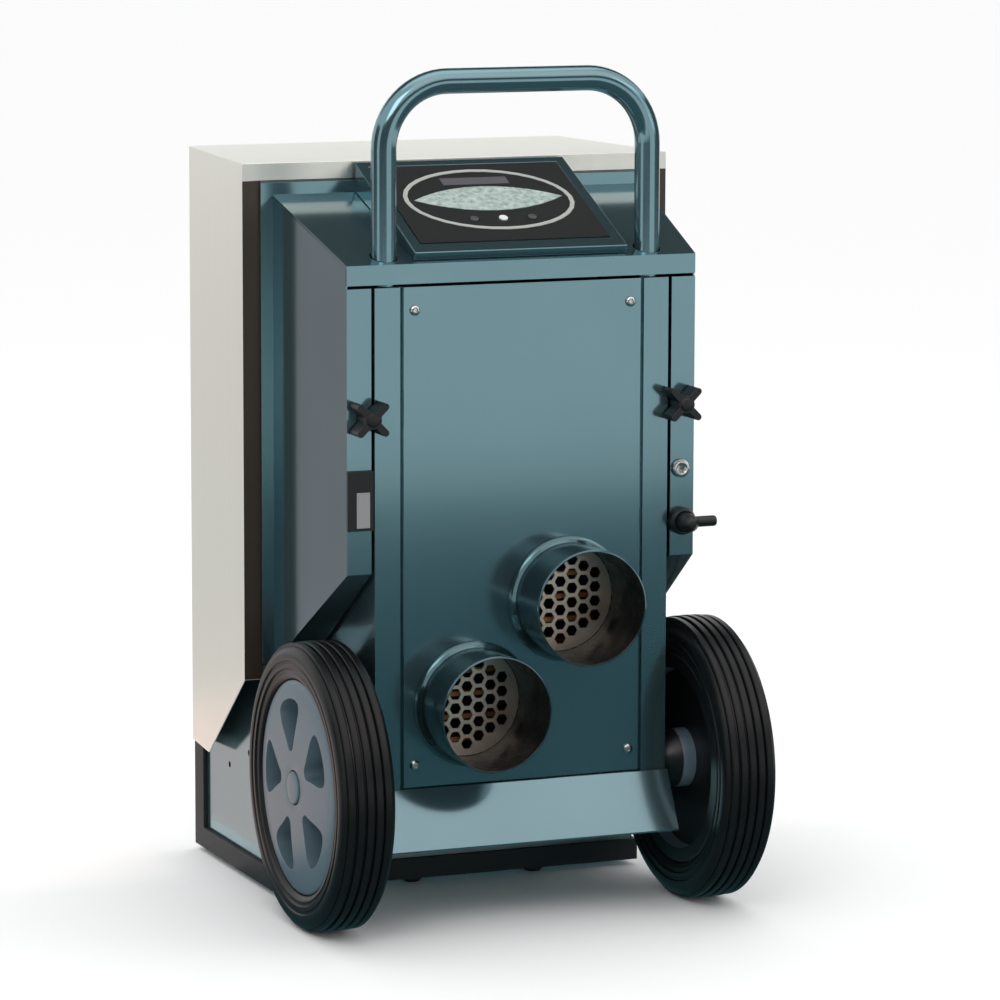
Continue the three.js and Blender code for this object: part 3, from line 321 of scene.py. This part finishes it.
def turned(name, profile, axis, centre, sides=96):
    """Closed surface turned about an axis from [radius, height] pairs; heights run along the axis."""
    build = bmesh.new()
    along = {"x": 0, "y": 1, "z": 2}[axis]
    across = [k for k in range(3) if k != along]
    rings = []
    for radius, height in profile:
        count = sides if radius > 1e-6 else 1
        ring = []
        for i in range(count):
            angle = 2 * math.pi * i / sides
            point = [0.0, 0.0, 0.0]
            point[along] = height
            point[across[0]] = radius * math.cos(angle)
            point[across[1]] = radius * math.sin(angle)
            ring.append(build.verts.new(Vector(point) * MM + Vector(centre)))
        rings.append(ring)
    closed = profile[0][0] > 1e-6
    pairs = list(zip(rings, rings[1:]))
    if closed:
        pairs.append((rings[-1], rings[0]))
    for a, b in pairs:
        for i in range(sides):
            j = (i + 1) % sides
            if len(a) == 1 and len(b) == 1:
                continue
            if len(a) == 1:
                build.faces.new((a[0], b[i], b[j]))
            elif len(b) == 1:
                build.faces.new((a[i], b[0], a[j]))
            else:
                build.faces.new((a[i], b[i], b[j], a[j]))
    bmesh.ops.recalc_face_normals(build, faces=build.faces)
    return object_from(name, build)


def refined(node, width, segments=2):
    """The CAD node's own shape with its coplanar facets joined and its edges rounded."""
    source = frame["nodes"][node]
    build = bmesh.new()
    build.from_mesh(source.data)
    build.transform(source.matrix_world)
    bmesh.ops.remove_doubles(build, verts=build.verts, dist=WELD)
    bmesh.ops.dissolve_limit(build, angle_limit=FLAT_ANGLE, verts=build.verts, edges=build.edges)
    piece = object_from(node + "_fine", build)
    bevel = piece.modifiers.new("bevel", "BEVEL")
    bevel.width = width * MM
    bevel.segments = segments
    bevel.limit_method = "ANGLE"
    bevel.angle_limit = EDGE_ANGLE
    bevel.use_clamp_overlap = True
    flat = piece.modifiers.new("flat", "WEIGHTED_NORMAL")
    flat.weight = 100
    flat.keep_sharp = True
    return finish_piece(piece, [node])


def centre_of(node):
    low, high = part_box(node)
    return (Vector(low) + Vector(high)) / 2


# ------------------------------------------------------------------ wheels
WHEEL_R = 125
TREAD_HALF = 20.5
RIB_HALF = 3.1
RIB_PITCH = 8.2
GROOVE_DEPTH = 3.0


def tyre_profile():
    """Tread with rounded ribs, then the stepped sidewalls down to the bead."""
    tread = []
    for rib in range(-2, 3):
        middle = rib * RIB_PITCH
        crown = WHEEL_R - 0.05 - 1.4 * (middle / TREAD_HALF) ** 2
        tread += [
            (crown - GROOVE_DEPTH, middle - RIB_HALF - 0.1),
            (crown - 0.8, middle - RIB_HALF),
            (crown, middle - RIB_HALF + 0.9),
            (crown, middle + RIB_HALF - 0.9),
            (crown - 0.8, middle + RIB_HALF),
            (crown - GROOVE_DEPTH, middle + RIB_HALF + 0.1),
        ]
    shoulder = [(121.2, 20.2), (119.5, 22.6), (116, 24.3), (112.5, 25.0), (109.5, 24.7), (108.5, 23.4)]
    wall = [(107, 23.4), (105.8, 24.4), (102.5, 24.3), (101.3, 22.6), (99.5, 22.4), (98.3, 23), (96, 22.6)]
    bead = [(94.6, 21.6), (93.4, 20.2)]
    side = shoulder + wall + bead
    near = [(r, -h) for r, h in reversed(side)]
    return near + tread + side


def make_tyre(side):
    node = "wheel_tyre_" + side
    piece = turned(node + "_fine", tyre_profile(), "x", centre_of(node), 144)
    return finish_piece(piece, [node])


POCKETS = 5
POCKET_PHASE = 149.5
POCKET_MIDDLE_R = 56
POCKET_ENDS = ((-4, 0.86), (34, 1.08))  # distance from the wheel's middle plane, and scale of the outline there
HUB_EDGE = 1.2
HUB_EDGE_ANGLE = math.radians(40)
HUB_OUTER_FACE = [
    (92.4, 19.6),
    (91.6, 20.4),
    (89.5, 21.1),
    (86, 22.0),
    (76, 22.9),
    (60, 24.0),
    (42, 24.5),
    (24, 24.8),
    (16.6, 24.8),
    (15.2, 24.4),
    (14.8, 23.6),
    (14.8, 18.2),
    (10.3, 18.2),
]


def hub_profile():
    inner_face = [(10.3, -39.4), (16, -39.4), (26, -22), (26, -10), (78, -10), (80, -20.6), (92.4, -20.6)]
    return inner_face + HUB_OUTER_FACE


def pocket_outline():
    """Rounded sector: wide towards the rim, round at the hub end."""
    half, crown_half = math.radians(21), math.radians(15)
    outer = [(69, -half), (76, -crown_half), (77, 0.0), (76, crown_half), (69, half)]
    points = [Vector((r * math.cos(a), r * math.sin(a))) for r, a in outer]
    for i in range(5):
        a = math.pi / 2 + math.pi * i / 4
        points.append(Vector((39 + 7.5 * math.cos(a), 7.5 * math.sin(a))))
    for _ in range(2):
        cut = []
        for here, after in zip(points, points[1:] + points[:1]):
            cut += [here.lerp(after, 0.25), here.lerp(after, 0.75)]
        points = cut
    return points


def pocket_cutter(angle, sign):
    """The outline run through the hub's face, narrowing inwards."""
    outline = pocket_outline()
    build = bmesh.new()
    layers = []
    for depth, scale in POCKET_ENDS:
        layer = []
        for u, v in outline:
            u, v = POCKET_MIDDLE_R + (u - POCKET_MIDDLE_R) * scale, v * scale
            y = u * math.cos(angle) - v * math.sin(angle)
            z = u * math.sin(angle) + v * math.cos(angle)
            layer.append(build.verts.new(Vector((sign * depth, y, z)) * MM))
        layers.append(layer)
    low, high = layers
    count = len(outline)
    for i in range(count):
        j = (i + 1) % count
        build.faces.new((low[i], low[j], high[j], high[i]))
    build.faces.new(low)
    build.faces.new(high)
    bmesh.ops.recalc_face_normals(build, faces=build.faces)
    return object_from("cutter", build)


def apply_modifiers(piece):
    graph = bpy.context.evaluated_depsgraph_get()
    piece.data = bpy.data.meshes.new_from_object(piece.evaluated_get(graph))
    piece.modifiers.clear()


def make_hub(side, sign):
    node = "wheel_hub_" + side
    middle = centre_of("wheel_tyre_" + side)
    profile = [(r, sign * h) for r, h in hub_profile()]
    piece = turned(node + "_fine", profile, "x", middle, 120)
    for i in range(POCKETS):
        cutter = pocket_cutter(math.radians(POCKET_PHASE + 360 * i / POCKETS), sign)
        cutter.location = middle
        bpy.context.view_layer.update()
        boolean = piece.modifiers.new("pocket", "BOOLEAN")
        boolean.operation = "DIFFERENCE"
        boolean.object = cutter
        boolean.solver = "EXACT"
        apply_modifiers(piece)
        bpy.data.objects.remove(cutter)
    piece.data.materials.append(MATERIALS[SLOT_OF[node]])
    # faces turned inboard get black plastic: painted shade on the hub's shaded inner side, the hub being one
    # colour
    piece.data.materials.append(MATERIALS["black"])
    for face in piece.data.polygons:
        face.material_index = 1 if face.normal.x * sign < -0.3 else 0
    bevel = piece.modifiers.new("bevel", "BEVEL")
    bevel.width = HUB_EDGE * MM
    bevel.segments = 2
    bevel.limit_method = "ANGLE"
    bevel.angle_limit = HUB_EDGE_ANGLE
    return finish_piece(piece, [node])


def make_hub_cap(side, sign):
    node = "hub_cap_" + side
    middle = centre_of("wheel_tyre_" + side)
    profile = [(0, 20.6), (14.0, 20.6), (14.0, 25.0), (13.3, 25.9), (11.5, 26.35), (6, 26.5), (0, 26.55)]
    piece = turned(node + "_fine", [(r, sign * h) for r, h in profile], "x", middle, 48)
    return finish_piece(piece, [node])


# ------------------------------------------------------------------ handle
HANDLE_R = 11
HANDLE_BORE = 9
HANDLE_X = 121.5
HANDLE_TOP = 726.5
HANDLE_BEND = 57
HANDLE_END = 300


def handle_path():
    straight = [(-HANDLE_X, z) for z in (HANDLE_END, 420, 540, 620)]
    bend = []
    for i in range(17):
        a = math.pi - (math.pi / 2) * i / 16
        bend.append((-HANDLE_X + HANDLE_BEND * (1 + math.cos(a)), HANDLE_TOP - HANDLE_BEND * (1 - math.sin(a))))
    left = straight + bend
    right = [(-x, z) for x, z in reversed(left)]
    return left + right


def make_handle():
    path = [Vector((x, 0, z)) for x, z in handle_path()]
    depth = centre_of("handle").y
    sides = 32
    build = bmesh.new()
    across = Vector((0, 1, 0))
    shells = []
    for radius in (HANDLE_R - 0.05, HANDLE_BORE):
        rings = []
        for i, point in enumerate(path):
            ahead = path[min(i + 1, len(path) - 1)] - path[max(i - 1, 0)]
            out = ahead.normalized().cross(across)
            ring = []
            for k in range(sides):
                a = 2 * math.pi * k / sides
                offset = (out * math.cos(a) + across * math.sin(a)) * radius
                ring.append(build.verts.new((point + offset) * MM + Vector((0, depth, 0))))
            rings.append(ring)
        shells.append(rings)
        for a, b in zip(rings, rings[1:]):
            for k in range(sides):
                m = (k + 1) % sides
                build.faces.new((a[k], a[m], b[m], b[k]))
    outer, inner = shells
    for end in (0, -1):
        for k in range(sides):
            m = (k + 1) % sides
            build.faces.new((outer[end][k], outer[end][m], inner[end][m], inner[end][k]))
    bmesh.ops.recalc_face_normals(build, faces=build.faces)
    return finish_piece(object_from("handle_fine", build), ["handle"])


# ------------------------------------------------------------------ turned fittings
def facing_door(profile):
    """Profile heights given outwards from the door plane, turned to run along -Y."""
    return [(r, -h) for r, h in profile]


def door_plane():
    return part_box("column_frame")[0][1]


DUCT_SHADE_R = 49  # faces nearer the axis than this get the painted shade of the tube's inside


def make_duct(side):
    node = "duct_collar_" + side
    middle = centre_of(node)
    centre = (middle.x, door_plane(), middle.z)
    profile = [
        (48.5, -26),
        (50, -26),
        (50, 0.7),
        (54.2, 0.7),
        (54.8, 1.2),
        (54.8, 1.9),
        (53.4, 2.4),
        (52.2, 3.2),
        (51.2, 4.4),
        (50, 5.6),
        (50, 53.6),
        (50.5, 54.2),
        (50.6, 55.2),
        (50.1, 55.9),
        (49.2, 56),
        (48.6, 55.6),
        (48.5, 54.8),
    ]
    piece = turned(node + "_fine", facing_door(profile), "y", centre, 128)
    # darker copy of the body paint: painted shade and painted dark reflection on the collars, which are the
    # body's colour
    piece.data.materials.append(paint("collar_painted_shade", (78, 106, 112)))
    piece.data.materials.append(duct_inside_shade())
    # inner faces of the tube take the painted shade
    for face in piece.data.polygons:
        from_axis = Vector((face.center.x - middle.x, 0, face.center.z - middle.z))
        if from_axis.length < DUCT_SHADE_R * MM and face.normal.dot(from_axis) < 0:
            face.material_index = 1
    return finish_piece(piece, [node])


def make_socket():
    middle = centre_of("sensor_socket")
    profile = [
        (0, -7.6), (5.8, -7.6), (5.8, 0.5), (8.1, 0.5), (8.1, 2.6), (7.6, 3.5),
        (6.6, 3.9), (5.2, 3.9), (4.6, 3.3), (4.4, 2.2), (3.4, 2.0), (3.4, -3.6), (0, -3.6),
    ]
    centre = (middle.x, door_plane(), middle.z)
    piece = turned("sensor_socket_fine", facing_door(profile), "y", centre, 48)
    return finish_piece(piece, ["sensor_socket"])


def make_door_screw(index):
    node = f"door_screw_{index}"
    middle = centre_of(node)
    profile = [
        (0, -8.8), (2.4, -8.8), (2.4, 0.6), (4.5, 0.6), (4.4, 1.6), (3.8, 2.5),
        (2.9, 3.0), (2.0, 3.1), (1.9, 1.6), (0, 1.6),
    ]
    centre = (middle.x, door_plane(), middle.z)
    return finish_piece(turned(node + "_fine", facing_door(profile), "y", centre, 32), [node])


# ------------------------------------------------------------------ floor and light
FLOOR_DROP = -0.0002
FLOOR_HALF = 60


def make_floor():
    build = bmesh.new()
    bmesh.ops.create_grid(build, x_segments=1, y_segments=1, size=FLOOR_HALF)
    floor = object_from("floor", build)
    material, shader = new_material("floor", (252, 252, 252), 0.7, specular=0.2)
    speckle = noise(material, 30, 2.0)
    vary(material, shader.inputs["Roughness"], speckle.outputs["Fac"], 0.66, 0.74)
    floor.data.materials.append(material)
    floor.location.z = FLOOR_DROP


def make_area(name, location, target, size, power, colour=(1, 1, 1)):
    data = bpy.data.lights.new(name, "AREA")
    data.shape = "RECTANGLE"
    data.size, data.size_y = size
    data.energy = power
    data.color = colour
    light = bpy.data.objects.new(name, data)
    light.location = location
    light.rotation_euler = (Vector(target) - Vector(location)).to_track_quat("-Z", "Y").to_euler()
    bpy.context.collection.objects.link(light)


def make_world():
    world = bpy.data.worlds.new("studio")
    world.use_nodes = True
    sky = world.node_tree.nodes["Background"]
    sky.inputs["Color"].default_value = (1.0, 1.0, 1.0, 1.0)
    sky.inputs["Strength"].default_value = 1.0
    bpy.context.scene.world = world


def make_card(name, corners, glow):
    """A studio card that shows only in reflections, with its own even brightness."""
    build = bmesh.new()
    build.faces.new([build.verts.new(c) for c in corners])
    card = object_from(name, build)
    material, shader = new_material(name, (0, 0, 0), 1.0, specular=0.0)
    shader.inputs["Emission Color"].default_value = (*glow, 1.0)
    shader.inputs["Emission Strength"].default_value = 1.0
    card.data.materials.append(material)
    card.visible_camera = False
    card.visible_diffuse = False
    card.visible_shadow = False
    card.visible_transmission = False


CARD_Z = 0.003
WALL_R = 5.5
WALL_H = 2.6
# from azimuth, to azimuth, lower edge
WALL = ((-120, -80, 0), (-58, -20, 0), (-20, 5, 0), (5, 50, 1.1), (50, 85, 0), (85, 120, 0))


def floor_card(name, points, glow):
    make_card(name, [(x, y, CARD_Z) for x, y in points], glow)


# each card: name, corners, brightness
FLOOR_CARDS = (
    ("card_front", [(-1.8, 0.12), (2.2, 0.12), (2.2, -2.42), (-1.8, -2.42)], (0.05, 0.13, 0.145)),
    ("card_side", [(-0.75, 0.9), (-3.2, 0.9), (-9.0, 9.0), (-2.9, 9.0)], (0.47, 0.36, 0.36)),
    ("card_base", [(-0.22, 0.15), (-0.7, 0.15), (-0.7, 0.9), (-0.22, 0.9)], (1.0, 0.8, 0.75)),
    ("card_shell", [(-0.1, 0.92), (-0.74, 0.92), (-2.88, 9.0), (-0.6, 9.0)], (0.66, 0.67, 0.65)),
)
RAISED_CARDS = (
    (
        "card_back",
        [(-1.2, 1.0, 1.3), (2.4, 1.0, 1.3), (2.4, 1.0, 4.5), (-1.2, 1.0, 4.5)],
        (0.05, 0.06, 0.06),
    ),
    (
        "card_top",
        [(-0.5, -0.6, 2.2), (2.2, -0.6, 2.2), (2.2, -2.6, 2.2), (-0.5, -2.6, 2.2)],
        (1.56, 1.36, 1.33),
    ),
)
WALL_GLOW = (0.06, 0.08, 0.09)


def wall_point(azimuth):
    turn = math.radians(azimuth)
    return WALL_R * math.sin(turn), -WALL_R * math.cos(turn)


def light_scene():
    make_world()
    make_area("key", (-1.6, -2.4, 2.6), (0, 0, 0.35), (1.6, 1.6), 20)
    make_area("top", (0.2, 0.3, 3.0), (0, 0, 0.3), (2.4, 2.4), 12)
    make_area("fill", (2.4, -1.8, 1.4), (0, 0, 0.3), (1.4, 1.6), 8)
    for card in FLOOR_CARDS:
        floor_card(*card)
    for card in RAISED_CARDS:
        make_card(*card)
    for start, end, z in WALL:
        (x0, y0), (x1, y1) = wall_point(start), wall_point(end)
        corners = [(x0, y0, z), (x1, y1, z), (x1, y1, WALL_H), (x0, y0, WALL_H)]
        make_card("card_wall", corners, WALL_GLOW)
    bpy.context.scene.view_settings.view_transform = "Standard"


SHELL_TOP_FLANGE = 15.4
FLANGE_PLANE_SLACK = 0.5


def paint_shell_flange_reflection(shell):
    """The shell's side flanges facing the body get a dark colour below the top flange: a painted reflection of
    the dark body beside them.
    """
    low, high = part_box("shell")
    top_edge = high[2] - SHELL_TOP_FLANGE * MM
    build = bmesh.new()
    build.from_mesh(shell.data)
    geometry = build.verts[:] + build.edges[:] + build.faces[:]
    bmesh.ops.bisect_plane(
        build, geom=geometry, plane_co=(0, 0, top_edge), plane_no=(0, 0, 1), dist=WELD
    )
    for face in build.faces:
        middle = face.calc_center_median()
        # flange faces below the top flange take the painted dark reflection
        on_flange = middle.y < low[1] + FLANGE_PLANE_SLACK * MM and face.normal.y < -0.9
        if on_flange and middle.z < top_edge:
            face.material_index = 1
    build.to_mesh(shell.data)
    build.free()
    shell.data.materials.append(painted_body_reflection())


# ------------------------------------------------------------------ build
paint_nodes()
make_floor()
light_scene()

for side, sign in (("left", -1), ("right", 1)):
    make_tyre(side)
    make_hub(side, sign)
    make_hub_cap(side, sign)
make_handle()
for side in ("upper", "lower"):
    make_duct(side)
make_socket()
for screw in range(1, 5):
    make_door_screw(screw)

for node in ("column_frame", "side_panel_left", "side_panel_right", "top_panel", "door_panel", "skirt"):
    refined(node, SHEET_EDGE)
paint_shell_flange_reflection(refined("shell", SHEET_EDGE))
for node in ("control_box", "star_knob_left", "star_knob_right", "water_tank"):
    refined(node, MOULDED_EDGE, MOULDED_SEGMENTS)
for node in ("hour_meter", "outlet_nut", "outlet_elbow", "bumper_strip", "control_bezel"):
    refined(node, SMALL_EDGE)
